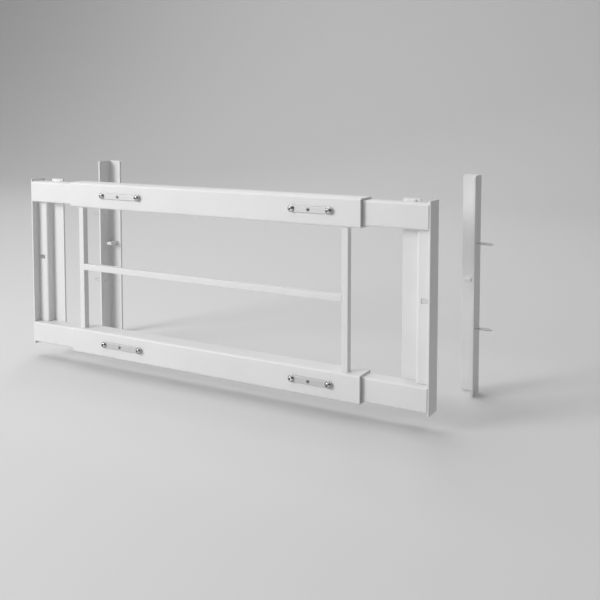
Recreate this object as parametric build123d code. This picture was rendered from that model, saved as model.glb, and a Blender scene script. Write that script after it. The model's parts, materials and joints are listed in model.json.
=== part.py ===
from build123d import *
import os

# Telescoping window security guard with its two jamb brackets, in millimetres.
# X runs across the window, Y runs from the room towards the window, Z is up.
# The origin is the middle of the whole set: guard pulled forward, brackets behind it.
# Depths called "back" are counted from the front face of the sleeves.

# ---- Centre frame: two sleeves joined by two uprights and a mid bar
sleeve_length = 500.0
sleeve_height = 38.1
sleeve_depth = 33.0
sleeve_wall = 2.6
sleeve_corner = 3.0
tube_least_corner = 0.3
guard_height = 267.0
bar_size = 9.5
bar_edge = 0.8
bar_back = 6.0
left_upright_inset = 16.0
right_upright_inset = 25.0
mid_bar_z = 1.5

# ---- Lock plates: a bar riveted to the sleeve, with a clamp screw at each end
plate_height = 9.0
plate_thickness = 3.0
plate_edge = 0.7
plate_lift = 1.2
left_plate_inset = 101.5
left_plate_pitch = 68.0
right_plate_inset = 72.5
right_plate_pitch = 56.0
rivet_share = 0.46
clamp_screw_radius = 3.0
clamp_head_radius = 4.9
clamp_head_height = 3.6
clamp_socket_flats = 4.0
clamp_socket_depth = 2.0
clamp_tip_gap = 0.2
rivet_radius = 1.6
rivet_head_radius = 2.5
rivet_head_height = 0.9
rivet_bulb_radius = 2.3
rivet_bulb_length = 1.4
rivet_bore = 0.9
fastener_fit = 0.05
drill_overrun = 1.0

# ---- End frames: two rails that slide in the sleeves, a side plate and a stepped plate
end_reach = 92.0
end_overhang = 1.0
rail_wall = 2.0
rail_corner = 2.5
rail_side_gap = 0.3
rail_back_gap = 0.2
rail_front_gap = 3.0
rail_end_gap = 4.5
slide_stop_gap = 0.4
sheet = 2.5
side_plate_setback = 0.7
side_plate_behind_wing = 1.5
side_plate_edge = 0.6
ledge_width = 20.0
ledge_back = 18.0
wing_width = 24.1
bend_inner = 1.0
notch_gap = 0.3
slot_side_gap = 0.6
slot_end_gap = 0.75
slot_corner = 1.0
slot_z = 7.5
slot_from_side_plate = 2.4

# ---- Jamb brackets: an angle with a lug that enters the slot of the end frame
seat_travel = 157.0
seat_gap = 0.2
jamb_gap = 0.3
bracket_sheet = 3.0
bracket_overhang = 21.5
jamb_leg_depth = 29.0
stop_leg_width = 26.5
bracket_bend_inner = 1.0
bracket_corner = 3.5
lug_width = 10.0
lug_height = 5.0
lug_proud = 0.6
lug_chamfer = 0.8
lug_fit = 0.1
jamb_screw_spacing = 120.0
jamb_screw_from_edge = 10.4
jamb_screw_radius = 2.2
jamb_head_radius = 4.4
jamb_screw_length = 28.0
jamb_screw_point = 6.0
jamb_screw_tip_radius = 0.2
jamb_socket_flats = 3.0
jamb_socket_depth = 1.4

# ---- Worked out from the sizes above
sleeve_end_x = sleeve_length / 2
sleeve_z = (guard_height - sleeve_height) / 2
left_upright_x = left_upright_inset - sleeve_end_x
right_upright_x = sleeve_end_x - right_upright_inset
left_plate_x = left_plate_inset - sleeve_end_x
right_plate_x = sleeve_end_x - right_plate_inset
end_half_width = sleeve_end_x + end_reach
end_height = guard_height + 2 * end_overhang
slide_in_travel = end_reach - sheet - ledge_width - wing_width - slide_stop_gap
rail_length = end_half_width - sheet - slide_in_travel - rail_end_gap
rail_height = sleeve_height - 2 * (sleeve_wall + rail_side_gap)
rail_back = sleeve_wall + rail_front_gap
rail_depth = sleeve_depth - sleeve_wall - rail_back_gap - rail_back
wing_back = rail_back + rail_depth
side_plate_back = rail_back + side_plate_setback
side_plate_end = wing_back + sheet + side_plate_behind_wing
slot_width = lug_width + 2 * slot_side_gap
slot_height = lug_height + 2 * slot_end_gap
bracket_height = guard_height + 2 * bracket_overhang
stop_leg_back = side_plate_end + seat_travel + seat_gap
lug_length = side_plate_end + seat_gap - ledge_back + lug_proud
bracket_end = stop_leg_back + bracket_sheet
head_ball = (clamp_head_radius**2 + clamp_head_height**2) / (2 * clamp_head_height)
socket_rim = (head_ball**2 - (clamp_socket_flats / 2) ** 2) ** 0.5 - head_ball + clamp_head_height
head_front = plate_thickness + socket_rim
front_y = (head_front - bracket_end) / 2
side_plate_inner_x = -(end_half_width - sheet)
slot_x = side_plate_inner_x + slot_from_side_plate + slot_width / 2
jamb_x = -(end_half_width + jamb_gap + bracket_sheet)
jamb_leg_inner_x = jamb_x + bracket_sheet


def block(x0, x1, back0, back1, z0, z1):
    """A box between two X values, two depths behind the sleeves' front face and two heights."""
    size = (x1 - x0, back1 - back0, z1 - z0)
    middle = ((x0 + x1) / 2, front_y + (back0 + back1) / 2, (z0 + z1) / 2)
    return Pos(*middle) * Box(*size)


def front_frame(x, back, z):
    """A location whose own Z axis points forward, out of the sleeve's front face."""
    return Pos(x, front_y + back, z) * Rot(90, 0, 0)


def jamb_frame(back, z):
    """A location on the jamb leg's inner face, whose own Z axis points away from the jamb."""
    return Pos(jamb_leg_inner_x, front_y + back, z) * Rot(0, 90, 0)


def tube(length, depth, height, corner, wall):
    """A rectangular tube along X, centred on the origin, with round corners."""
    section = Plane.YZ * RectangleRounded(depth, height, corner)
    inner_corner = max(corner - wall, tube_least_corner)
    hollow = Plane.YZ * RectangleRounded(depth - 2 * wall, height - 2 * wall, inner_corner)
    return extrude(section - hollow, amount=length / 2, both=True)


def plate_screws_x(plate_x, pitch):
    return (plate_x - pitch / 2, plate_x + pitch / 2)


def plate_rivet_x(plate_x, pitch):
    return plate_x - pitch / 2 + rivet_share * pitch


def front_hole(x, z, radius):
    """A cylinder that drills the plate and the sleeve's front wall, and stops short of the rail."""
    front = -plate_thickness - drill_overrun
    back = sleeve_wall + drill_overrun
    return front_frame(x, (front + back) / 2, z) * Cylinder(radius, back - front)


def plate_holes(plate_x, pitch, z):
    """The three holes that a lock plate and its sleeve share: two for clamp screws, one for the rivet."""
    drills = [front_hole(x, z, clamp_screw_radius + fastener_fit) for x in plate_screws_x(plate_x, pitch)]
    drills.append(front_hole(plate_rivet_x(plate_x, pitch), z, rivet_radius + fastener_fit))
    return drills


def sleeve(z):
    """A sleeve with the holes for its lock plates, which sit a little above its middle."""
    part = Pos(0, front_y + sleeve_depth / 2, z) * tube(
        sleeve_length, sleeve_depth, sleeve_height, sleeve_corner, sleeve_wall
    )
    for plate_x, pitch in ((left_plate_x, left_plate_pitch), (right_plate_x, right_plate_pitch)):
        part -= plate_holes(plate_x, pitch, z + plate_lift)
    return part


def upright(x):
    top = guard_height / 2 - sleeve_height
    bar = block(x - bar_size / 2, x + bar_size / 2, bar_back, bar_back + bar_size, -top, top)
    return fillet(bar.edges().filter_by(Axis.Z), bar_edge)


def mid_bar():
    x0 = left_upright_x + bar_size / 2
    x1 = right_upright_x - bar_size / 2
    z0 = mid_bar_z - bar_size / 2
    bar = block(x0, x1, bar_back, bar_back + bar_size, z0, z0 + bar_size)
    return fillet(bar.edges().filter_by(Axis.X), bar_edge)


def lock_plate(plate_x, pitch, z):
    outline = SlotCenterToCenter(pitch, plate_height)
    plate = front_frame(plate_x, 0, z) * extrude(outline, plate_thickness)
    front_edges = plate.edges().group_by(Axis.Y)[0]
    plate = fillet(front_edges, plate_edge)
    return plate - plate_holes(plate_x, pitch, z)


def round_head(radius, height):
    """A spherical cap with its flat face on the XY plane."""
    ball = (radius**2 + height**2) / (2 * height)
    cap = Pos(0, 0, height - ball) * Sphere(ball)
    return cap & Pos(0, 0, ball) * Box(4 * ball, 4 * ball, 2 * ball)


def clamp_screw(x, z):
    """A round-head security screw: its tip stops just in front of the rail inside the sleeve."""
    head = round_head(clamp_head_radius, clamp_head_height)
    shank_length = plate_thickness + rail_back - clamp_tip_gap
    shank = Pos(0, 0, -shank_length / 2) * Cylinder(clamp_screw_radius, shank_length)
    hexagon = RegularPolygon(clamp_socket_flats / 2, 6, major_radius=False)
    socket = extrude(Pos(0, 0, clamp_head_height - clamp_socket_depth) * hexagon, clamp_head_height)
    return front_frame(x, -plate_thickness, z) * (head + shank - socket)


def clamp_screws(plate_x, pitch, z):
    return Compound(children=[clamp_screw(x, z) for x in plate_screws_x(plate_x, pitch)])


def plate_rivet(plate_x, pitch, z):
    """A blind rivet: domed head on the plate, bulb behind the sleeve's front wall."""
    grip = plate_thickness + sleeve_wall
    head = round_head(rivet_head_radius, rivet_head_height)
    shank = Pos(0, 0, -grip / 2) * Cylinder(rivet_radius, grip)
    bulb = Pos(0, 0, -grip - rivet_bulb_length / 2) * Cylinder(rivet_bulb_radius, rivet_bulb_length)
    bore = Pos(0, 0, rivet_head_height - grip / 2) * Cylinder(rivet_bore, grip)
    body = head + shank + bulb - bore
    return front_frame(plate_rivet_x(plate_x, pitch), -plate_thickness, z) * body


def rail(z):
    """The left rail: its outer end butts on the side plate, its inner end lies in the sleeve."""
    middle_x = side_plate_inner_x + rail_length / 2
    shell = tube(rail_length, rail_depth, rail_height, rail_corner, rail_wall)
    return Pos(middle_x, front_y + rail_back + rail_depth / 2, z) * shell


def side_plate():
    half = end_height / 2
    plate = block(-end_half_width, side_plate_inner_x, side_plate_back, side_plate_end, -half, half)
    return fillet(plate.edges().filter_by(Axis.Z), side_plate_edge)


def folded_sheet(points, thickness, inner_radius, height):
    """A sheet bent along a plan outline: the points run along one face, to the right of which it lies."""
    path = FilletPolyline(*points, radius=inner_radius + thickness / 2)
    wall = trace(path, line_width=thickness)
    return extrude(wall, amount=height / 2, both=True)


def stepped_plate():
    """The left stepped plate: ledge, step back and wing. Ledge and step are cut away at the rails."""
    half = sheet / 2
    ledge_y = front_y + ledge_back + half
    step_x = side_plate_inner_x + ledge_width - half
    wing_y = front_y + wing_back + half
    wing_x = side_plate_inner_x + ledge_width + wing_width
    points = [(side_plate_inner_x, ledge_y), (step_x, ledge_y), (step_x, wing_y), (wing_x, wing_y)]
    plate = folded_sheet(points, sheet, bend_inner, end_height)
    step_face_x = step_x + half
    notch_z = sleeve_z - rail_height / 2 - notch_gap
    for z0, z1 in ((notch_z, end_height), (-end_height, -notch_z)):
        plate -= block(-end_half_width, wing_x, 0, wing_back, z0, z1)
        plate -= block(-end_half_width, step_face_x, 0, wing_back + sheet, z0, z1)
    slot = Plane.XZ * RectangleRounded(slot_width, slot_height, slot_corner)
    cutter = extrude(slot, amount=sheet, both=True)
    return plate - Pos(slot_x, ledge_y, slot_z) * cutter


def bracket():
    """The left jamb bracket: jamb leg along the jamb, stop leg across behind the guard's end."""
    half = bracket_sheet / 2
    leg_x = jamb_x + half
    leg_y = front_y + bracket_end - half
    front_edge = front_y + bracket_end - jamb_leg_depth
    free_edge = jamb_x + stop_leg_width
    points = [(leg_x, front_edge), (leg_x, leg_y), (free_edge, leg_y)]
    angle = folded_sheet(points, bracket_sheet, bracket_bend_inner, bracket_height)
    jamb_leg_corners = angle.edges().filter_by(Axis.X).group_by(Axis.Y)[0]
    angle = fillet(jamb_leg_corners, bracket_corner)
    stop_leg_corners = angle.edges().filter_by(Axis.Y).group_by(Axis.X)[-1]
    angle = fillet(stop_leg_corners, bracket_corner)
    half_width = lug_width / 2 + lug_fit
    half_height = lug_height / 2 + lug_fit
    angle -= block(
        slot_x - half_width, slot_x + half_width, stop_leg_back - lug_fit, bracket_end + lug_fit,
        slot_z - half_height, slot_z + half_height,
    )
    for z in jamb_screws_z():
        angle -= jamb_frame(jamb_screw_back(), z) * countersink(fastener_fit)
    return angle


def jamb_screws_z():
    return (-jamb_screw_spacing / 2, jamb_screw_spacing / 2)


def jamb_screw_back():
    return bracket_end - jamb_leg_depth + jamb_screw_from_edge


def countersink(gap):
    """A cone as deep as the bracket's sheet, its wide end flush with the jamb leg's inner face."""
    narrow = jamb_screw_radius + gap
    wide = jamb_head_radius + gap
    return Pos(0, 0, -bracket_sheet / 2) * Cone(narrow, wide, bracket_sheet)


def jamb_screw(z):
    """A countersunk wood screw, flush with the jamb leg so that the side plate slides past it."""
    plain = jamb_screw_length - jamb_screw_point - bracket_sheet
    shank = Pos(0, 0, -bracket_sheet - plain / 2) * Cylinder(jamb_screw_radius, plain)
    tip_z = -jamb_screw_length + jamb_screw_point / 2
    tip = Pos(0, 0, tip_z) * Cone(jamb_screw_tip_radius, jamb_screw_radius, jamb_screw_point)
    hexagon = RegularPolygon(jamb_socket_flats / 2, 6, major_radius=False)
    socket = extrude(Pos(0, 0, -jamb_socket_depth) * hexagon, 2 * jamb_socket_depth)
    return jamb_frame(jamb_screw_back(), z) * (countersink(0) + shank + tip - socket)


def jamb_screws():
    return Compound(children=[jamb_screw(z) for z in jamb_screws_z()])


def lug():
    """A short bar welded through the stop leg, reaching forward into the slot of the guard's end."""
    bar = block(
        slot_x - lug_width / 2, slot_x + lug_width / 2, stop_leg_back - lug_length, bracket_end,
        slot_z - lug_height / 2, slot_z + lug_height / 2,
    )
    nose = bar.faces().sort_by(Axis.Y)[0].edges()
    return chamfer(nose, lug_chamfer)


def right_hand(shape):
    return mirror(shape, about=Plane.YZ)


def nodes():
    made = {
        "top_sleeve": sleeve(sleeve_z),
        "bottom_sleeve": sleeve(-sleeve_z),
        "left_upright": upright(left_upright_x),
        "right_upright": upright(right_upright_x),
        "mid_bar": mid_bar(),
    }
    sides = (("left", left_plate_x, left_plate_pitch), ("right", right_plate_x, right_plate_pitch))
    for level, z in (("top", sleeve_z + plate_lift), ("bottom", -sleeve_z + plate_lift)):
        for side, plate_x, pitch in sides:
            made[f"{level}_{side}_lock_plate"] = lock_plate(plate_x, pitch, z)
            made[f"{level}_{side}_clamp_screws"] = clamp_screws(plate_x, pitch, z)
            made[f"{level}_{side}_plate_rivet"] = plate_rivet(plate_x, pitch, z)
    left_hand = {
        "top_rail": rail(sleeve_z),
        "bottom_rail": rail(-sleeve_z),
        "side_plate": side_plate(),
        "stepped_plate": stepped_plate(),
        "jamb_bracket": bracket(),
        "jamb_lug": lug(),
        "jamb_screws": jamb_screws(),
    }
    for name, shape in left_hand.items():
        made[f"left_{name}"] = shape
        made[f"right_{name}"] = right_hand(shape)
    return made


def main():
    os.makedirs("parts", exist_ok=True)
    for name, shape in nodes().items():
        export_step(shape, f"parts/{name}.step")


main()
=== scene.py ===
# %% [markdown]
# # A telescoping window guard
#
# The guard is a welded steel frame with a white powder coat. Two sleeves hold the rails of two
# end frames, so the guard grows to fit its window. The two angles behind it are the jamb
# brackets. This script takes the finished frame as it is, gives every piece its real finish,
# and swaps the plain screws and rivets for detailed ones. Weld beads are added where the real
# joints are welded.

# %% Load the frame
import json

import bpy
import numpy as np
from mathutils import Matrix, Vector


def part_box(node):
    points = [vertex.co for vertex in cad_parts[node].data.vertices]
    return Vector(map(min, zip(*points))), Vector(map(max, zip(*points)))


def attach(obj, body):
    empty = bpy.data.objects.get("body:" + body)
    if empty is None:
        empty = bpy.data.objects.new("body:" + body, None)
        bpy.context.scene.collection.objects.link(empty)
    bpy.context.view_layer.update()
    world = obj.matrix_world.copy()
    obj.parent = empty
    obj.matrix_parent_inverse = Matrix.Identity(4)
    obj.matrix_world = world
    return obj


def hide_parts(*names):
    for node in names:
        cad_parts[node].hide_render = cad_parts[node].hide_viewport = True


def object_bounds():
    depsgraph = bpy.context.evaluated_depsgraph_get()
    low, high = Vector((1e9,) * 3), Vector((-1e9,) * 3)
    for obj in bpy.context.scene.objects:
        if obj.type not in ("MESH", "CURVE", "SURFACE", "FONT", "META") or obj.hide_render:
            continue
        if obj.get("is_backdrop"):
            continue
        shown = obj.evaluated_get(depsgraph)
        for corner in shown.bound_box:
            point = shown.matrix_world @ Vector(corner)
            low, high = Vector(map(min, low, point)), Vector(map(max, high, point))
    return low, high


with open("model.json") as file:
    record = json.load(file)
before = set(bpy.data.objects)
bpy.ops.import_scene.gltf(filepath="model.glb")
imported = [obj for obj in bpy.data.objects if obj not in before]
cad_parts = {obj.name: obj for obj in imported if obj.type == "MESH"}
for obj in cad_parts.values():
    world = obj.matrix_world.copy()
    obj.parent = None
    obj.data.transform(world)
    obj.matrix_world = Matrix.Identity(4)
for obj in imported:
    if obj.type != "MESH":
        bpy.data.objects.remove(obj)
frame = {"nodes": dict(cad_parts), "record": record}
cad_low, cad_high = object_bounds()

MM = 0.001
nodes = frame["nodes"]
print("frame box in metres:", [round(c, 4) for c in (*cad_low, *cad_high)])

# %% [markdown]
# ## Turning arrays into meshes
#
# Every new piece below is a tube-like surface: rings of points, one after another, closed at
# both ends by a single point, which is called a pole. A surface like that can be described by
# two numbers, one along the piece and one around it, so numpy can work out all the points at
# once. Modelling the same piece by hand would give the same mesh, but no way to change it later.

# %% Rings and poles to a closed surface
def closed_rings(rings, first_pole, last_pole):
    """Joins rings[along, around] into quads, wrapping round, with a fan of triangles at each pole."""
    along, around = rings.shape[:2]
    points = np.vstack([rings.reshape(-1, 3), first_pole, last_pole])
    here = np.arange(along * around).reshape(along, around)
    beside = np.roll(here, -1, axis=1)
    quads = np.stack([here[:-1], beside[:-1], beside[1:], here[1:]], axis=-1).reshape(-1, 4)
    start, end = along * around, along * around + 1
    head = np.stack([beside[0], here[0], np.full(around, start)], axis=-1)
    tail = np.stack([here[-1], beside[-1], np.full(around, end)], axis=-1)
    return points, quads, np.vstack([head, tail])


def outward(points, quads, triangles):
    """Turns the faces over if the volume that they enclose comes out negative."""
    split = np.vstack([quads[:, [0, 1, 2]], quads[:, [0, 2, 3]], triangles])
    a, b, c = points[split[:, 0]], points[split[:, 1]], points[split[:, 2]]
    if np.einsum("ij,ij->i", a, np.cross(b, c)).sum() < 0:
        return quads[:, ::-1], triangles[:, ::-1]
    return quads, triangles


# %% [markdown]
# One object may hold several closed surfaces, such as the two screws of a lock plate. Its
# mesh also keeps the attribute `along`, the distance along the profile, which the metal
# finishes read. The object stays at the origin, and its place is in its points. Smooth shading
# is broken only where two faces meet at more than the crease angle, so domes are smooth and
# rims are crisp.

# %% Surfaces to one object
def make_piece(name, surfaces, material, body, crease_degrees=40):
    """One mesh object from several closed surfaces; each is (points, quads, triangles, along)."""
    points, faces, along, first = [], [], [], 0
    for surface_points, quads, triangles, distance in surfaces:
        quads, triangles = outward(surface_points, quads, triangles)
        points.append(surface_points)
        along.append(distance)
        faces += (quads + first).tolist() + (triangles + first).tolist()
        first += len(surface_points)
    mesh = bpy.data.meshes.new(name)
    mesh.from_pydata(np.vstack(points).tolist(), [], faces)
    mesh.attributes.new("along", "FLOAT", "POINT").data.foreach_set("value", np.concatenate(along))
    mesh.shade_smooth()
    mesh.set_sharp_from_angle(angle=np.radians(crease_degrees))
    mesh.materials.append(material)
    piece = bpy.data.objects.new(name, mesh)
    bpy.context.scene.collection.objects.link(piece)
    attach(piece, body)
    print(f"{name}: {len(faces)} faces on {body}")
    return piece


# %% [markdown]
# ## Shader groups
#
# Paint, zinc and bare steel share some effects: a soft edge, which on the paint also carries a
# painted highlight with a little real wear, and a fine grain. Each effect is a node group that
# is built once and placed in every material that needs it. The groups put out colours, values
# and normals only. The Principled shader stays in the material.
# Node trees are wordy, so a few helpers come first.

# %% Helpers for groups and materials
def new_group(name, inputs, outputs):
    """A shader node group with named float, colour or vector sockets."""
    kinds = {"value": "NodeSocketFloat", "colour": "NodeSocketColor", "vector": "NodeSocketVector"}
    group = bpy.data.node_groups.new(name, "ShaderNodeTree")
    for socket_name, kind, default in inputs:
        socket = group.interface.new_socket(socket_name, in_out="INPUT", socket_type=kinds[kind])
        socket.default_value = default
    for socket_name, kind in outputs:
        group.interface.new_socket(socket_name, in_out="OUTPUT", socket_type=kinds[kind])
    print("shader group:", name, "gives", ", ".join(socket_name for socket_name, kind in outputs))
    return group, group.nodes.new("NodeGroupInput"), group.nodes.new("NodeGroupOutput")


def place_group(tree, group):
    """The group as one node of a material."""
    node = tree.nodes.new("ShaderNodeGroup")
    node.node_tree = group
    return node


def blank_material(name):
    """A new material, its tree and its Principled shader."""
    material = bpy.data.materials.new(name)
    material.use_nodes = True
    tree = material.node_tree
    print("material:", name)
    return material, tree, tree.nodes["Principled BSDF"]


# %% Helpers for numbers and patterns
NOISE_LOW, NOISE_HIGH = 0.3, 0.7


def feed(tree, socket, value):
    """Links a socket to the input, or sets the input to a plain number."""
    if isinstance(value, bpy.types.NodeSocket):
        tree.links.new(value, socket)
    else:
        socket.default_value = value


def math_node(tree, operation, a, b=0.0):
    """A Math node whose inputs are sockets or plain numbers."""
    node = tree.nodes.new("ShaderNodeMath")
    node.operation = operation
    feed(tree, node.inputs[0], a)
    feed(tree, node.inputs[1], b)
    return node.outputs["Value"]


def noise_node(tree, coordinates, scale, detail=3.0):
    """Cloudy noise from 0 to 1; the scale says how many clouds there are in a metre."""
    node = tree.nodes.new("ShaderNodeTexNoise")
    node.inputs["Detail"].default_value = detail
    node.inputs["Roughness"].default_value = 0.55
    tree.links.new(coordinates, node.inputs["Vector"])
    feed(tree, node.inputs["Scale"], scale)
    return node.outputs["Fac"]


def spread(tree, value, low, high):
    """Maps 0..1 noise, which gathers round one half, to low..high."""
    node = tree.nodes.new("ShaderNodeMapRange")
    node.inputs["From Min"].default_value = NOISE_LOW
    node.inputs["From Max"].default_value = NOISE_HIGH
    node.inputs["To Min"].default_value = low
    node.inputs["To Max"].default_value = high
    tree.links.new(value, node.inputs["Value"])
    return node.outputs["Result"]


def shaded_colour(tree, shade):
    """A Mix node that multiplies its colour, input A, by a grey shade."""
    node = tree.nodes.new("ShaderNodeMix")
    node.data_type = "RGBA"
    node.blend_type = "MULTIPLY"
    node.inputs["Factor"].default_value = 1.0
    tree.links.new(shade, node.inputs["B"])
    return node


def bump_on(tree, height, normal, strength, distance):
    """A Bump node that adds a height to a normal that is already softened."""
    bump = tree.nodes.new("ShaderNodeBump")
    bump.inputs["Strength"].default_value = strength
    bump.inputs["Distance"].default_value = distance
    tree.links.new(height, bump.inputs["Height"])
    tree.links.new(normal, bump.inputs["Normal"])
    return bump.outputs["Normal"]


# %% [markdown]
# The edge group finds edges without any extra mesh. A Bevel node returns the normal that the
# surface would have if its edges were rounded. Where that differs from the true normal there
# is an edge, so one minus their dot product is an edge mask.

# %% Soft edge group
EDGE_GAIN = 4.0


def soft_edge_group():
    """Mask = (1 - rounded normal . true normal) * gain, never above 1."""
    group, source, result = new_group(
        "soft edge", [("Radius", "value", 0.5 * MM)], [("Normal", "vector"), ("Mask", "value")]
    )
    bevel = group.nodes.new("ShaderNodeBevel")
    bevel.samples = 6
    group.links.new(source.outputs["Radius"], bevel.inputs["Radius"])
    geometry = group.nodes.new("ShaderNodeNewGeometry")
    dot = group.nodes.new("ShaderNodeVectorMath")
    dot.operation = "DOT_PRODUCT"
    group.links.new(bevel.outputs["Normal"], dot.inputs[0])
    group.links.new(geometry.outputs["Normal"], dot.inputs[1])
    bend = math_node(group, "SUBTRACT", 1.0, dot.outputs["Value"])
    mask = math_node(group, "MULTIPLY", bend, EDGE_GAIN)
    group.links.new(bevel.outputs["Normal"], result.inputs["Normal"])
    group.links.new(math_node(group, "MINIMUM", mask, 1.0), result.inputs["Mask"])
    return group


SOFT_EDGE = soft_edge_group()

# %% [markdown]
# ## White powder coat
#
# Powder paint melts in an oven and sets with a faint orange-peel skin: soft bumps about a
# millimetre across on much wider, flatter waves. It picks up a trace of dust in wide patches.
# The patterns are noise in Object coordinates, so they run on across all the pieces at one
# real size. Every scale below is a number of clouds in a metre.

# %% Powder coat group
WAVES, PATCHES, SPECKS = 70.0, 9.0, 2600.0
WAVE_WEIGHT = 3.0
PATCH_SHADE = (0.955, 1.0)
SPECK_SHADE = (0.985, 1.0)
COAT_ROUGHNESS = (0.36, 0.46)
SPECK_ROUGHNESS = 0.06


def powder_coat_group():
    """Colour times dust shade, roughness that rises with the dust, and peel plus waves as height."""
    inputs = [("Colour", "colour", (0.8, 0.8, 0.8, 1.0)), ("Peel size", "value", 1.2 * MM)]
    outputs = [("Colour", "colour"), ("Roughness", "value"), ("Height", "value")]
    group, source, result = new_group("powder coat", inputs, outputs)
    place = group.nodes.new("ShaderNodeTexCoord").outputs["Object"]
    peel_scale = math_node(group, "DIVIDE", 1.0, source.outputs["Peel size"])
    peel = noise_node(group, place, peel_scale, 2.0)
    waves = noise_node(group, place, WAVES, 2.0)
    patches = noise_node(group, place, PATCHES, 4.0)
    specks = noise_node(group, place, SPECKS, 1.0)
    height = math_node(group, "ADD", peel, math_node(group, "MULTIPLY", waves, WAVE_WEIGHT))
    shade = spread(group, patches, *PATCH_SHADE)
    fleck = spread(group, specks, *SPECK_SHADE)
    tint = shaded_colour(group, math_node(group, "MULTIPLY", shade, fleck))
    group.links.new(source.outputs["Colour"], tint.inputs["A"])
    speck_rough = math_node(group, "MULTIPLY", specks, SPECK_ROUGHNESS)
    rough = math_node(group, "ADD", spread(group, patches, *COAT_ROUGHNESS), speck_rough)
    group.links.new(tint.outputs["Result"], result.inputs["Colour"])
    group.links.new(rough, result.inputs["Roughness"])
    group.links.new(height, result.inputs["Height"])
    return group


POWDER_COAT = powder_coat_group()

# %% [markdown]
# The coat creeps back from a sharp edge while it melts, and hands and tools polish it there,
# but most of the whiter edge is a painted highlight: the edge mask mixes the paint's colour
# with a lighter one, so edges read whiter than the faces, as if they caught the light. The
# brackets are a second batch: a touch greyer, with a coarser skin.

# %% Painted steel materials
# how much lighter the edges get: mostly a painted edge highlight, a little real edge wear
EDGE_WEAR_AND_HIGHLIGHT = 1.25
COAT_BUMP = 0.5
COAT_BUMP_HEIGHT = 0.08 * MM


def powder_coated(name, colour, peel_size, edge_radius):
    """Powder-coated steel: the coat group for colour and skin, the edge group for soft edges and a
    painted edge highlight.
    """
    material, tree, shader = blank_material(name)
    coat = place_group(tree, POWDER_COAT)
    coat.inputs["Colour"].default_value = (*colour, 1.0)
    coat.inputs["Peel size"].default_value = peel_size
    edge = place_group(tree, SOFT_EDGE)
    edge.inputs["Radius"].default_value = edge_radius
    # painted highlight, with a little real wear: edges mixed toward a lighter colour, so they read whiter
    # as if they caught the light
    edge_wear_and_highlight = tree.nodes.new("ShaderNodeMix")
    edge_wear_and_highlight.data_type = "RGBA"
    edge_wear_and_highlight.inputs["B"].default_value = (*[min(1.0, c * EDGE_WEAR_AND_HIGHLIGHT) for c in colour], 1.0)
    tree.links.new(edge.outputs["Mask"], edge_wear_and_highlight.inputs["Factor"])
    tree.links.new(coat.outputs["Colour"], edge_wear_and_highlight.inputs["A"])
    tree.links.new(edge_wear_and_highlight.outputs["Result"], shader.inputs["Base Color"])
    tree.links.new(coat.outputs["Roughness"], shader.inputs["Roughness"])
    shader.inputs["Specular IOR Level"].default_value = 0.5
    normal = bump_on(tree, coat.outputs["Height"], edge.outputs["Normal"], COAT_BUMP, COAT_BUMP_HEIGHT)
    tree.links.new(normal, shader.inputs["Normal"])
    return material


guard_white = powder_coated("guard white powder coat", (0.80, 0.80, 0.80), 1.2 * MM, 1.0 * MM)
bracket_white = powder_coated("bracket white powder coat", (0.79, 0.79, 0.79), 1.4 * MM, 0.5 * MM)

# %% [markdown]
# ## Plated steel
#
# The screws are turned and then zinc plated. The tool leaves fine rings round the axis, which
# follow the attribute `along`. The plating adds faint clouds and a fine grit.

# %% Turned and plated steel group
PLATING_CLOUDS, GRIT = 450.0, 5000.0
CLOUD_SHADE = (0.8, 1.05)
CLOUD_ROUGHNESS = (-0.05, 0.08)
RING_WEIGHT = 0.25


def plated_group():
    """Rings = sine of the distance along, once each pitch; clouds tint the colour and roughness."""
    inputs = [
        ("Colour", "colour", (0.6, 0.6, 0.6, 1.0)),
        ("Roughness", "value", 0.3),
        ("Ring pitch", "value", 0.15 * MM),
    ]
    outputs = [("Colour", "colour"), ("Roughness", "value"), ("Height", "value")]
    group, source, result = new_group("plated steel", inputs, outputs)
    place = group.nodes.new("ShaderNodeTexCoord").outputs["Object"]
    along = group.nodes.new("ShaderNodeAttribute")
    along.attribute_name = "along"
    cycles = math_node(group, "DIVIDE", along.outputs["Fac"], source.outputs["Ring pitch"])
    rings = math_node(group, "SINE", math_node(group, "MULTIPLY", cycles, 2 * np.pi))
    clouds = noise_node(group, place, PLATING_CLOUDS, 4.0)
    grit = noise_node(group, place, GRIT, 2.0)
    tint = shaded_colour(group, spread(group, clouds, *CLOUD_SHADE))
    group.links.new(source.outputs["Colour"], tint.inputs["A"])
    cloud_rough = spread(group, clouds, *CLOUD_ROUGHNESS)
    rough = math_node(group, "ADD", source.outputs["Roughness"], cloud_rough)
    height = math_node(group, "ADD", math_node(group, "MULTIPLY", rings, RING_WEIGHT), grit)
    group.links.new(tint.outputs["Result"], result.inputs["Colour"])
    group.links.new(rough, result.inputs["Roughness"])
    group.links.new(height, result.inputs["Height"])
    return group


PLATED = plated_group()

# %% Turned and plated materials
PLATED_EDGE = 0.15 * MM
PLATED_BUMP = 0.25
PLATED_BUMP_HEIGHT = 0.02 * MM


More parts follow.
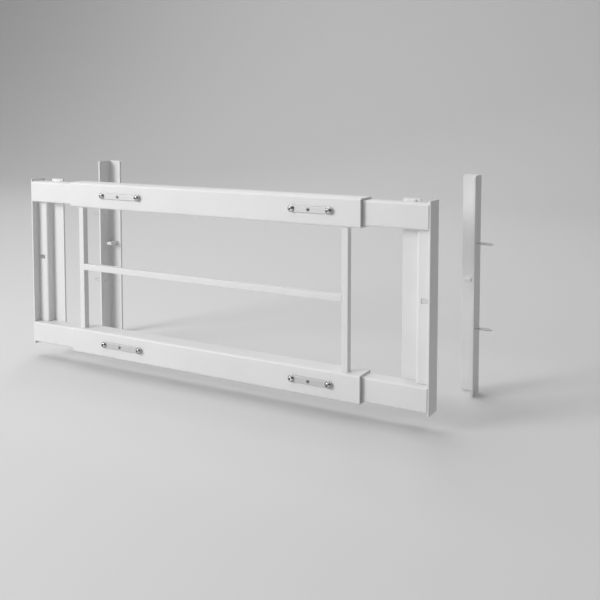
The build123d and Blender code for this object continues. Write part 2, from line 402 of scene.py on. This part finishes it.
def plated_steel(name, colour, roughness, ring_pitch):
    """Bare or plated metal: the plating group for colour and rings, the edge group for soft rims."""
    material, tree, shader = blank_material(name)
    plating = place_group(tree, PLATED)
    plating.inputs["Colour"].default_value = (*colour, 1.0)
    plating.inputs["Roughness"].default_value = roughness
    plating.inputs["Ring pitch"].default_value = ring_pitch
    edge = place_group(tree, SOFT_EDGE)
    edge.inputs["Radius"].default_value = PLATED_EDGE
    shader.inputs["Metallic"].default_value = 1.0
    tree.links.new(plating.outputs["Colour"], shader.inputs["Base Color"])
    tree.links.new(plating.outputs["Roughness"], shader.inputs["Roughness"])
    normal = bump_on(
        tree, plating.outputs["Height"], edge.outputs["Normal"], PLATED_BUMP, PLATED_BUMP_HEIGHT
    )
    tree.links.new(normal, shader.inputs["Normal"])
    return material


screw_steel = plated_steel("clamp screw zinc", (0.56, 0.56, 0.57), 0.2, 0.16 * MM)
rivet_steel = plated_steel("rivet steel", (0.30, 0.30, 0.31), 0.42, 0.12 * MM)
wood_screw_zinc = plated_steel("wood screw zinc", (0.80, 0.80, 0.79), 0.34, 0.2 * MM)

# %% [markdown]
# ## Lock plates
#
# The lock plates are strips of zinc-plated steel. The strip was rolled before it was cut, so
# it has very fine lines along its length, which stretched noise gives: the pattern is squeezed
# across the strip and left long along it. Old zinc has a dull grey skin that scatters light as
# paint does, so the finish is only partly metallic.

# %% Rolled zinc strip
ROLLING_SQUEEZE = (1.0, 40.0, 40.0)
ROLLING_LINES, ZINC_CLOUDS = 90.0, 260.0
ZINC_CLOUD_SHADE = (0.93, 1.0)
ZINC_LINE_SHADE = (0.96, 1.0)
ZINC_ROUGHNESS = (0.46, 0.58)
DULL_METALLIC = 0.45
ROLLING_BUMP = 0.3


def rolled_strip(name, colour, edge_radius):
    """Plated strip: noise squeezed 40 to 1 across X for the rolling lines, soft clouds for the zinc."""
    material, tree, shader = blank_material(name)
    place = tree.nodes.new("ShaderNodeTexCoord").outputs["Object"]
    squeeze = tree.nodes.new("ShaderNodeMapping")
    squeeze.inputs["Scale"].default_value = ROLLING_SQUEEZE
    tree.links.new(place, squeeze.inputs["Vector"])
    lines = noise_node(tree, squeeze.outputs["Vector"], ROLLING_LINES, 3.0)
    clouds = noise_node(tree, place, ZINC_CLOUDS, 4.0)
    edge = place_group(tree, SOFT_EDGE)
    edge.inputs["Radius"].default_value = edge_radius
    cloud_shade = spread(tree, clouds, *ZINC_CLOUD_SHADE)
    line_shade = spread(tree, lines, *ZINC_LINE_SHADE)
    tint = shaded_colour(tree, math_node(tree, "MULTIPLY", cloud_shade, line_shade))
    tint.inputs["A"].default_value = (*colour, 1.0)
    tree.links.new(tint.outputs["Result"], shader.inputs["Base Color"])
    tree.links.new(spread(tree, clouds, *ZINC_ROUGHNESS), shader.inputs["Roughness"])
    shader.inputs["Metallic"].default_value = DULL_METALLIC
    normal = bump_on(tree, lines, edge.outputs["Normal"], ROLLING_BUMP, PLATED_BUMP_HEIGHT)
    tree.links.new(normal, shader.inputs["Normal"])
    return material


plate_zinc = rolled_strip("lock plate zinc", (0.62, 0.62, 0.62), 0.25 * MM)

# %% [markdown]
# ## Dressing the frame
#
# The tubes, plates and brackets already have their right shapes, so they only change material.
# The record says which material slot each of them has, and a table turns slots into finishes.

# %% Dress the frame's own pieces
FINISHES = {"guard_white": guard_white, "bracket_white": bracket_white, "plate_zinc": plate_zinc}
slot_of = {part["node"]: part["material_slot"] for part in frame["record"]["subparts"]}
body_of = {
    name: body for body, names in frame["record"]["behaviour"]["bodies"].items() for name in names
}
for name, node in nodes.items():
    if slot_of[name] in FINISHES:
        for material_slot in node.material_slots:
            material_slot.material = FINISHES[slot_of[name]]
print("dressed:", sum(slot in FINISHES for slot in slot_of.values()), "of", len(nodes), "nodes")

# %% [markdown]
# ## Turned pieces with a hexagon socket
#
# A screw or a rivet is a profile turned round an axis. The profile is a list of radii and
# depths. A third number says how much of a hexagon the ring is: 0 for a round ring and 1 for
# the wall of the socket. So head, socket and shank are one closed surface.

# %% Profiles
def smooth_profile(corners, per_span=4):
    """Points spread evenly along straight spans between the corners of a profile."""
    corners = np.asarray(corners, float)
    spans = np.arange(len(corners) - 1)
    steps = np.arange(per_span) / per_span
    points = corners[spans][:, None] + (corners[spans + 1] - corners[spans])[:, None] * steps[:, None]
    return np.vstack([points.reshape(-1, corners.shape[1]), corners[-1:]])


def arc_profile(radius, height, count=14):
    """A spherical cap's profile, from its top out to its rim: ball radius times (sine, cosine)."""
    ball = (radius**2 + height**2) / (2 * height)
    lean = np.linspace(0, np.arcsin(radius / ball), count)
    return np.stack([ball * np.sin(lean), height - ball * (1 - np.cos(lean)), 0 * lean], axis=-1)


# %% The turned surface
AROUND = 72
TURN = np.linspace(0, 2 * np.pi, AROUND, endpoint=False)


def turned(profile, origin, axis, start, thread=None):
    """Radius times (cos, sin) round the axis, plus depth along it; a hexagon ring has the radius
    flat / cos(angle from the middle of the flat). The thread adds its own height to the radius."""
    radius, depth, hexagon = profile.T
    flat_angle = np.mod(TURN, np.pi / 3) - np.pi / 6
    reach = radius[:, None] * (1 - hexagon[:, None] + hexagon[:, None] / np.cos(flat_angle))
    if thread is not None:
        reach = reach + thread(depth[:, None], TURN[None, :])
    axis = np.asarray(axis, float)
    side = np.cross(axis, start)
    ring = np.cos(TURN)[:, None] * start + np.sin(TURN)[:, None] * side
    rings = origin + reach[..., None] * ring + depth[:, None, None] * axis
    travelled = np.concatenate([[0], np.cumsum(np.hypot(np.diff(radius), np.diff(depth)))])
    along = np.concatenate([np.repeat(travelled, AROUND), [0, travelled[-1]]])
    points, quads, triangles = closed_rings(rings, origin + depth[0] * axis, origin + depth[-1] * axis)
    return points, quads, triangles, along


print("turned pieces have", AROUND, "points in each ring")

# %% [markdown]
# ## Clamp screws
#
# Each lock plate has a round-head screw with a hexagon socket at both ends. The dome is part
# of a ball, and its rim ends in a short straight edge above the plate, which catches the light.
# The socket was punched, so its floor is a shallow cone.

# %% Directions and boxes
FORWARD = np.array([0.0, -1.0, 0.0])
UP = np.array([0.0, 0.0, 1.0])
LEFT, RIGHT, DOWN, BACK = -np.array([1.0, 0, 0]), np.array([1.0, 0, 0]), -UP, -FORWARD


def box_arrays(name):
    """The node's lowest and highest corners as arrays."""
    low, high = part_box(name)
    return np.array(low), np.array(high)


# %% Clamp screw profile
HEAD_RADIUS = 4.9 * MM
HEAD_HEIGHT = 3.6 * MM
HEAD_RIM = 0.7 * MM
HEAD_LIP = 0.12 * MM
SOCKET_FLAT = 1.8 * MM
SOCKET_DEPTH = 2.2 * MM
SOCKET_BURR = 0.1 * MM
SHANK_RADIUS = 3.0 * MM
SHANK_CHAMFER = 0.4 * MM


def socket_profile(flat, depth, rim):
    """From the floor's middle, out over a shallow cone, and up the hexagon's wall to a soft rim."""
    floor = rim - depth
    return smooth_profile([
        (0.08 * flat, floor - 0.35 * flat, 0), (0.75 * flat, floor - 0.05 * flat, 0.4), (flat, floor, 1),
        (flat, rim - 0.16 * MM, 1), (1.04 * flat, rim - 0.04 * MM, 0.95), (1.12 * flat, rim, 0.8),
    ])


def clamp_screw_profile(shank_length):
    """Socket, then the dome outside it, then the rim, the flat underside and the shank."""
    dome = arc_profile(HEAD_RADIUS, HEAD_HEIGHT - HEAD_RIM) + [0, HEAD_RIM, 0]
    dome = dome[dome[:, 0] > 1.3 * SOCKET_FLAT]
    socket = socket_profile(SOCKET_FLAT, SOCKET_DEPTH, dome[0, 1] + SOCKET_BURR)
    underside = smooth_profile([
        (HEAD_RADIUS, HEAD_LIP, 0), (HEAD_RADIUS - HEAD_LIP, 0, 0), (SHANK_RADIUS, 0, 0),
        (SHANK_RADIUS, -shank_length + SHANK_CHAMFER, 0),
        (SHANK_RADIUS - SHANK_CHAMFER, -shank_length, 0),
    ])
    return np.vstack([socket, dome, underside])


# %% Clamp screws
LEFT_KEY_TURN, RIGHT_KEY_TURN = 0.35, 0.9


def screws_for(node_name):
    """Two screws on the node's own places: half a head in from each end of its box."""
    low, high = box_arrays(node_name)
    plate_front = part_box(node_name.replace("clamp_screws", "lock_plate"))[0][1]
    middle_z = (low[2] + high[2]) / 2
    profile = clamp_screw_profile(high[1] - plate_front)
    places = ((low[0] + HEAD_RADIUS, LEFT_KEY_TURN), (high[0] - HEAD_RADIUS, RIGHT_KEY_TURN))
    surfaces = []
    for x, key_turn in places:
        start = np.array([np.sin(key_turn), 0.0, np.cos(key_turn)])
        surfaces.append(turned(profile, np.array([x, plate_front, middle_z]), FORWARD, start))
    return surfaces


lock_places = [f"{level}_{side}" for level in ("top", "bottom") for side in ("left", "right")]
for place in lock_places:
    node_name = f"{place}_clamp_screws"
    piece = make_piece(
        f"{place}_socket_screws", screws_for(node_name), screw_steel, body_of[node_name]
    )
    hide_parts(node_name)
print("clamp screws:", 2 * len(lock_places), "heads", round(2 * HEAD_RADIUS / MM, 1), "mm across")

# %% [markdown]
# ## Plate rivets
#
# A blind rivet holds each plate to its sleeve. Pulling its mandrel leaves a hole in the low
# dome with the broken stub deep inside, which is why it reads as a dark spot. Behind the
# sleeve's wall the shank swells into a bulb, which keeps the rivet from pulling out.

# %% Plate rivet profile
RIVET_RADIUS = 2.5 * MM
RIVET_HEIGHT = 0.9 * MM
RIVET_BORE = 1.0 * MM
RIVET_SHANK = 1.6 * MM
RIVET_BULB = 2.3 * MM
STUB_DEPTH = 1.75 * MM
SLEEVE_WALL = 2.6 * MM


def rivet_profile(grip, bulb_length):
    """Stub and bore, then the dome outside the bore, then the shank and the bulb behind the wall."""
    dome = arc_profile(RIVET_RADIUS, RIVET_HEIGHT, 12)
    dome = dome[dome[:, 0] > 1.15 * RIVET_BORE]
    top = dome[0, 1]
    stub = top - STUB_DEPTH
    bore = smooth_profile([
        (0.1 * MM, stub + 0.15 * MM, 0), (0.8 * RIVET_BORE, stub, 0),
        (RIVET_BORE, stub, 0), (RIVET_BORE, top - 0.08 * MM, 0), (1.05 * RIVET_BORE, top, 0),
    ])
    back = smooth_profile([
        (RIVET_RADIUS, 0.0, 0), (RIVET_SHANK, 0, 0), (RIVET_SHANK, -grip, 0),
        (RIVET_BULB, -grip - 0.15 * MM, 0), (RIVET_BULB, -grip - bulb_length + 0.3 * MM, 0),
        (RIVET_BULB - 0.5 * MM, -grip - bulb_length, 0),
    ])
    return np.vstack([bore, dome, back])


# %% Plate rivets
for place in lock_places:
    node_name = f"{place}_plate_rivet"
    low, high = box_arrays(node_name)
    plate_low, plate_high = box_arrays(f"{place}_lock_plate")
    grip = plate_high[1] - plate_low[1] + SLEEVE_WALL
    bulb_length = high[1] - plate_high[1] - SLEEVE_WALL
    origin = np.array([(low[0] + high[0]) / 2, plate_low[1], (low[2] + high[2]) / 2])
    surface = turned(rivet_profile(grip, bulb_length), origin, FORWARD, UP)
    piece = make_piece(f"{place}_blind_rivet", [surface], rivet_steel, body_of[node_name])
    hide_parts(node_name)
print("plate rivets:", len(lock_places), "with a grip of", round(grip / MM, 2), "mm")

# %% [markdown]
# ## Wood screws of the jamb brackets
#
# A wood screw has a coarse thread that winds round a thinner core and runs out to a sharp
# point. Here the thread is a ridge added to the radius: it is highest where the depth, less
# one pitch for each turn, is half way between two whole numbers of pitches.

# %% Thread and profile
SCREW_HEAD_RADIUS = 4.4 * MM
SCREW_CORE = 1.5 * MM
SCREW_OUTER = 2.2 * MM
SCREW_PITCH = 1.9 * MM
SCREW_LENGTH = 28.0 * MM
SCREW_POINT = 6.0 * MM
SCREW_NECK = 1.2 * MM
WOOD_SOCKET_FLAT = 1.5 * MM
WOOD_SOCKET_DEPTH = 1.2 * MM
BRACKET_SHEET = 3.0 * MM


def wood_thread(depth, turn):
    """Ridge height: a narrow peak once each pitch, fading in under the head and out at the point."""
    phase = np.mod(-depth / SCREW_PITCH - turn / (2 * np.pi), 1.0)
    ridge = np.clip(1 - np.abs(phase - 0.5) / 0.22, 0, 1)
    fade_in = np.clip((-depth - BRACKET_SHEET) / (1.5 * SCREW_PITCH), 0, 1)
    fade_out = np.clip((SCREW_LENGTH + depth) / SCREW_POINT, 0, 1)
    return (SCREW_OUTER - SCREW_CORE) * ridge * fade_in * fade_out


def wood_screw_profile():
    """Socket, countersunk cone, then a core that thins from the neck and tapers to the point."""
    head = socket_profile(WOOD_SOCKET_FLAT, WOOD_SOCKET_DEPTH, 0.0)
    cone = smooth_profile([
        (SCREW_HEAD_RADIUS - 0.1 * MM, 0, 0), (SCREW_HEAD_RADIUS, -0.1 * MM, 0),
        (SCREW_CORE + 0.6 * MM, -BRACKET_SHEET, 0),
    ])
    depth = np.linspace(-BRACKET_SHEET - 0.05 * MM, -SCREW_LENGTH + 0.05 * MM, 240)
    core = SCREW_CORE * np.clip((SCREW_LENGTH + depth) / SCREW_POINT, 0, 1) ** 0.8
    neck = np.clip((-depth - BRACKET_SHEET) / SCREW_NECK, 0, 1)
    radius = core * neck + (SCREW_CORE + 0.55 * MM) * (1 - neck)
    return np.vstack([head, cone, np.stack([radius, depth, 0 * depth], axis=-1)])


# %% Wood screws
LOWER_KEY_TURN, UPPER_KEY_TURN = 0.4, 1.1

for side, outwards in (("left", -1.0), ("right", 1.0)):
    node_name = f"{side}_jamb_screws"
    low, high = box_arrays(node_name)
    face_x = high[0] if outwards < 0 else low[0]
    axis = np.array([-outwards, 0.0, 0.0])
    middle_y = (low[1] + high[1]) / 2
    places = ((low[2] + SCREW_HEAD_RADIUS, LOWER_KEY_TURN), (high[2] - SCREW_HEAD_RADIUS, UPPER_KEY_TURN))
    surfaces = []
    for z, key_turn in places:
        start = np.array([0.0, np.sin(key_turn), np.cos(key_turn)])
        origin = np.array([face_x, middle_y, z])
        surfaces.append(turned(wood_screw_profile(), origin, axis, start, wood_thread))
    piece = make_piece(
        f"{side}_wood_screws", surfaces, wood_screw_zinc, body_of[node_name]
    )
    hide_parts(node_name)

# %% [markdown]
# ## Weld beads
#
# The bars, plates and lugs are welded. A fillet weld is a bead in an inside corner. Its
# section is a shallow bulge between the two faces, and its size swells and shrinks a little
# with each drop of metal. The bead is a profile carried along the corner, and both ends
# shrink to a pole. It is painted with the frame.

# %% A bead along an inside corner
RIPPLE = 1.3 * MM
WANDER = 4.7 * MM
BEAD_LEG = 2.2 * MM
BULGE = 0.16
ROOT = -0.15


def bead(start, end, first_face, second_face, leg=BEAD_LEG, seed=0):
    """Corner point plus leg times a blend from the first face's direction to the second's, with a
    half-sine bulge; the leg ripples along the bead and falls to nothing as a half circle at the ends."""
    start, end = np.asarray(start, float), np.asarray(end, float)
    length = np.linalg.norm(end - start)
    count = max(16, int(length / (RIPPLE / 6)))
    t = np.linspace(0, 1, count + 2)[1:-1]
    distance = t * length
    drop = np.abs(np.sin(np.pi * distance / RIPPLE + seed)) ** 0.6
    wander = 0.06 * np.sin(distance / WANDER + 2.1 * seed)
    ends = np.sqrt(np.clip(1 - np.abs(2 * t - 1) ** max(2.0, length / leg), 0, 1))
    size = leg * (0.86 + 0.14 * drop + wander) * ends
    blend = np.linspace(0, 1, 9)
    first_face, second_face = np.asarray(first_face, float), np.asarray(second_face, float)
    arc = (1 - blend)[:, None] * first_face + blend[:, None] * second_face
    arc += BULGE * np.sin(np.pi * blend)[:, None] * (first_face + second_face)
    section = np.vstack([arc, (ROOT * (first_face + second_face))[None]])
    line = start + t[:, None] * (end - start)
    rings = line[:, None] + size[:, None, None] * section
    points, quads, triangles = closed_rings(rings, start, end)
    along = np.concatenate([np.repeat(distance, len(section)), [0, length]])
    return points, quads, triangles, along


def painted_beads(name, surfaces, body, material=guard_white):
    """The beads of one place as one piece, with the paint of the steel that they join."""
    return make_piece(name, surfaces, material, body, crease_degrees=60)


# %% [markdown]
# The centre frame's bars end square on their neighbours. At each end the welder runs one bead
# up each side and one across the back, and leaves the front clean, because it shows. The
# seed starts the ripple at another place in each bead, so no two look the same.

# %% Beads of the centre frame
BAR_BEAD_INSET = 1.0 * MM


def upright_beads(name):
    """At both ends of an upright: one bead on each side and one behind, on the sleeve."""
    low, high = box_arrays(name)
    front, back = low[1] + BAR_BEAD_INSET, high[1] - BAR_BEAD_INSET
    surfaces = []
    for z, away in ((high[2], DOWN), (low[2], UP)):
        for x, side in ((low[0], LEFT), (high[0], RIGHT)):
            surfaces.append(bead((x, front, z), (x, back, z), side, away, seed=x * 900 + z))
        start = (low[0] + BAR_BEAD_INSET, high[1], z)
        end = (high[0] - BAR_BEAD_INSET, high[1], z)
        surfaces.append(bead(start, end, BACK, away, seed=z * 700))
    return surfaces


def mid_bar_beads():
    """At both ends of the mid bar: one bead above, one below and one behind, on the upright."""
    low, high = box_arrays("mid_bar")
    front, back = low[1] + BAR_BEAD_INSET, high[1] - BAR_BEAD_INSET
    surfaces = []
    for x, inwards in ((low[0], RIGHT), (high[0], LEFT)):
        for z, away in ((high[2], UP), (low[2], DOWN)):
            surfaces.append(bead((x, front, z), (x, back, z), inwards, away, seed=x * 500 + z))
        start = (x, high[1], low[2] + BAR_BEAD_INSET)
        end = (x, high[1], high[2] - BAR_BEAD_INSET)
        surfaces.append(bead(start, end, inwards, BACK, seed=x))
    return surfaces


for name in ("left_upright", "right_upright"):
    painted_beads(f"{name}_welds", upright_beads(name), "centre_frame")
painted_beads("mid_bar_welds", mid_bar_beads(), "centre_frame")

# %% [markdown]
# On an end frame the rails are welded to the side plate above and below, and the wing to the
# rails' outer faces. The long seam between ledge and side plate gets only short stitches, which
# heat and bend the sheet less. Two of them stand above the slot and two below. The wing's bead
# stops short of the wing's edge, so that it clears the sleeve when the end frame slides in.

# %% Beads of the end frames
END_SHEET = 2.5 * MM
RAIL_BEAD_INSET = 3.0 * MM
WING_BEAD_LENGTH = 19 * MM
WING_BEAD_INSET = 2 * MM
WING_BEAD_LEG = 3.2 * MM
STITCH_HALF = 11 * MM
STITCH_MIDDLES = np.array([-84.0, -38.0, 38.0, 84.0]) * MM


def end_frame_beads(side, inwards):
    """Rails on the side plate, wing on the rails' outer faces, stitches between ledge and side plate."""
    inner = np.array([inwards, 0.0, 0.0])
    pick = 1 if inwards > 0 else 0
    plate_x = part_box(f"{side}_side_plate")[pick][0]
    step_box = box_arrays(f"{side}_stepped_plate")
    wing_x = step_box[pick][0]
    wing_start_x = wing_x - inwards * WING_BEAD_LENGTH
    wing_end_x = wing_x - inwards * WING_BEAD_INSET
    surfaces = []
    for rail in ("top_rail", "bottom_rail"):
        low, high = box_arrays(f"{side}_{rail}")
        front, back = low[1] + RAIL_BEAD_INSET, high[1] - RAIL_BEAD_INSET
        for z, away in ((high[2], UP), (low[2], DOWN)):
            start, end = (plate_x, front, z), (plate_x, back, z)
            surfaces.append(bead(start, end, inner, away, seed=z * 300))
        outer_z, away = (high[2], UP) if rail == "top_rail" else (low[2], DOWN)
        start, end = (wing_start_x, high[1], outer_z), (wing_end_x, high[1], outer_z)
        surfaces.append(bead(start, end, FORWARD, away, WING_BEAD_LEG, seed=outer_z * 600))
    ledge_back = step_box[0][1] + END_SHEET
    for middle in STITCH_MIDDLES:
        start = (plate_x, ledge_back, middle - STITCH_HALF)
        end = (plate_x, ledge_back, middle + STITCH_HALF)
        surfaces.append(bead(start, end, inner, BACK, seed=middle * 90))
    return surfaces


# %% Beads of the lugs
LUG_BEAD_LEG = 1.6 * MM
LUG_BEAD_INSET = 0.5 * MM


def lug_beads(side):
    """One bead above and one below the lug, on the front of the bracket's sheet."""
    low, high = box_arrays(f"{side}_jamb_lug")
    face_y = high[1] - BRACKET_SHEET
    surfaces = []
    for z, away in ((high[2], UP), (low[2], DOWN)):
        start = (low[0] + LUG_BEAD_INSET, face_y, z)
        end = (high[0] - LUG_BEAD_INSET, face_y, z)
        surfaces.append(bead(start, end, FORWARD, away, LUG_BEAD_LEG, seed=z * 800))
    return surfaces


for side, inwards in (("left", 1.0), ("right", -1.0)):
    painted_beads(f"{side}_end_welds", end_frame_beads(side, inwards), f"{side}_end")
    painted_beads(f"{side}_lug_welds", lug_beads(side), f"{side}_bracket", bracket_white)

# %% [markdown]
# ## Floor and backdrop
#
# A sheet of pale paper lies under the object and curves up behind it, so there is no line
# where floor and wall meet. It is a profile in Y and Z, repeated across X.

# %% Paper sweep
PAPER_GAP = 2 * MM
PAPER_HALF_WIDTH, PAPER_FRONT = 20.0, -20.0
WALL_Y, WALL_HEIGHT, BEND_RADIUS = 4.0, 7.0, 1.6


def paper_sweep():
    """Flat floor, then a quarter circle (sine, one minus cosine), then a straight wall."""
    floor_z = cad_low[2] - PAPER_GAP
    bend = np.linspace(0, np.pi / 2, 24)
    bend_y = WALL_Y - BEND_RADIUS + BEND_RADIUS * np.sin(bend)
    y = np.concatenate([[PAPER_FRONT], bend_y, [WALL_Y]])
    z = np.concatenate([[0.0], BEND_RADIUS * (1 - np.cos(bend)), [WALL_HEIGHT]]) + floor_z
    x = np.array([-PAPER_HALF_WIDTH, PAPER_HALF_WIDTH])
    grid = np.stack([np.repeat(x, len(y)), np.tile(y, 2), np.tile(z, 2)], axis=-1)
    first = np.arange(len(y) - 1)
    faces = np.stack([first, first + len(y), first + len(y) + 1, first + 1], axis=-1)
    mesh = bpy.data.meshes.new("paper sweep")
    mesh.from_pydata(grid.tolist(), [], faces.tolist())
    mesh.shade_smooth()
    material, tree, shader = blank_material("pale paper")
    shader.inputs["Base Color"].default_value = (0.68, 0.68, 0.68, 1.0)
    shader.inputs["Roughness"].default_value = 0.9
    mesh.materials.append(material)
    sweep = bpy.data.objects.new("paper sweep", mesh)
    bpy.context.scene.collection.objects.link(sweep)
    sweep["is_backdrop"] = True
    print("paper sweep:", len(faces), "faces, floor at", round(floor_z, 4), "m")


paper_sweep()

# %% [markdown]
# ## Light
#
# One large softbox stands in front and to the left, close enough that the right end of the
# guard gets less of it. A second one overhead lights the tops of the bars. A third brightens
# the backdrop and a weak fourth lights the back. Nothing stands on the right, so white bars
# have a shaded side there, and the domed screw heads a dark edge.

# %% Softboxes
CENTRE = (0.0, 0.0, 0.0)


def softbox(name, place, target, size, power):
    """A round area light that looks at the target; the camera doesn't see the light itself."""
    light = bpy.data.lights.new(name, "AREA")
    light.shape = "DISK"
    light.size = size
    light.energy = power
    lamp = bpy.data.objects.new(name, light)
    lamp.location = place
    lamp.rotation_euler = (Vector(target) - Vector(place)).to_track_quat("-Z", "Y").to_euler()
    lamp.visible_camera = False
    bpy.context.scene.collection.objects.link(lamp)
    print(name, "at", place, "with", power, "W")


softbox("front softbox", (-1.3, -1.9, 0.8), CENTRE, 1.1, 34)
softbox("overhead softbox", (-0.4, 0.1, 2.0), CENTRE, 1.4, 10)
softbox("backdrop softbox", (-2.0, 1.8, 3.0), (-1.8, 3.8, 0.6), 2.6, 26)
softbox("rear softbox", (-1.2, 2.2, 1.6), CENTRE, 1.2, 6)

# %% [markdown]
# The world fills in what the softboxes leave dark. It is bright on the left, almost black on
# the right, as if a dark cloth hung there, and brightest overhead, like a studio's ceiling.

# %% Sky with a dim side
SIDE_FADE = (-0.3, 0.6)
OVERHEAD_FADE = (0.5, 0.9)
SEEN_GREY = 1.3


def faded(tree, value, fade, low, high):
    """Maps the value from the fade's two ends to low..high."""
    node = tree.nodes.new("ShaderNodeMapRange")
    node.inputs["From Min"].default_value, node.inputs["From Max"].default_value = fade
    node.inputs["To Min"].default_value = low
    node.inputs["To Max"].default_value = high
    tree.links.new(value, node.inputs["Value"])
    return node.outputs["Result"]


def studio_sky(bright, dim, overhead, strength):
    """Bright where the direction's X is low, dim where it is high, brightest overhead; the camera
    itself sees an even pale grey."""
    world = bpy.data.worlds.new("studio sky")
    world.use_nodes = True
    tree = world.node_tree
    direction = tree.nodes.new("ShaderNodeSeparateXYZ")
    tree.links.new(tree.nodes.new("ShaderNodeTexCoord").outputs["Generated"], direction.inputs["Vector"])
    side = faded(tree, direction.outputs["X"], SIDE_FADE, bright, dim)
    above = faded(tree, direction.outputs["Z"], OVERHEAD_FADE, 0.0, overhead)
    seen = tree.nodes.new("ShaderNodeMix")
    tree.links.new(tree.nodes.new("ShaderNodeLightPath").outputs["Is Camera Ray"], seen.inputs["Factor"])
    tree.links.new(math_node(tree, "MAXIMUM", side, above), seen.inputs["A"])
    seen.inputs["B"].default_value = SEEN_GREY
    tree.links.new(seen.outputs["Result"], tree.nodes["Background"].inputs["Color"])
    tree.nodes["Background"].inputs["Strength"].default_value = strength
    bpy.context.scene.world = world
    print("sky from", dim, "on the right to", overhead, "overhead, times", strength)


studio_sky(1.0, 0.02, 1.9, 0.40)
bpy.context.scene.view_settings.view_transform = "Standard"

# %% [markdown]
# ## Camera
#
# The camera stands to the right of the guard, a little above it, and looks down by only four
# degrees. A shifted lens brings the guard to the middle of the frame, so the uprights stay
# almost upright in the picture, as an architect's camera keeps them.

# %% Camera
TURN_LEFT = 29.82
LOOK_DOWN = 4.0
CAMERA_X, CAMERA_Z = 0.7203, 0.2448
SLEEVE_FRONT_TO_CAMERA = 0.9744
sleeve_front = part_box("top_sleeve")[0][1]
camera_data = bpy.data.cameras.new("camera")
camera_data.sensor_width = 36.0
camera_data.lens = 51.48
camera_data.shift_y = -0.216
camera = bpy.data.objects.new("camera", camera_data)
camera.location = (CAMERA_X, sleeve_front - SLEEVE_FRONT_TO_CAMERA, CAMERA_Z)
camera.rotation_euler = (np.radians(90 - LOOK_DOWN), 0, np.radians(TURN_LEFT))
bpy.context.scene.collection.objects.link(camera)
bpy.context.scene.camera = camera
print("camera at", [round(c, 4) for c in camera.location])

# %% [markdown]
# ## Sizes
#
# The finished model is meant to be as large as the frame that it was built round. Both boxes
# are printed, the frame's when it is loaded and the finished model's here.

# %% Write the sizes and finish
low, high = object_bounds()
print("visual box in metres:", [round(c, 4) for c in (*low, *high)])
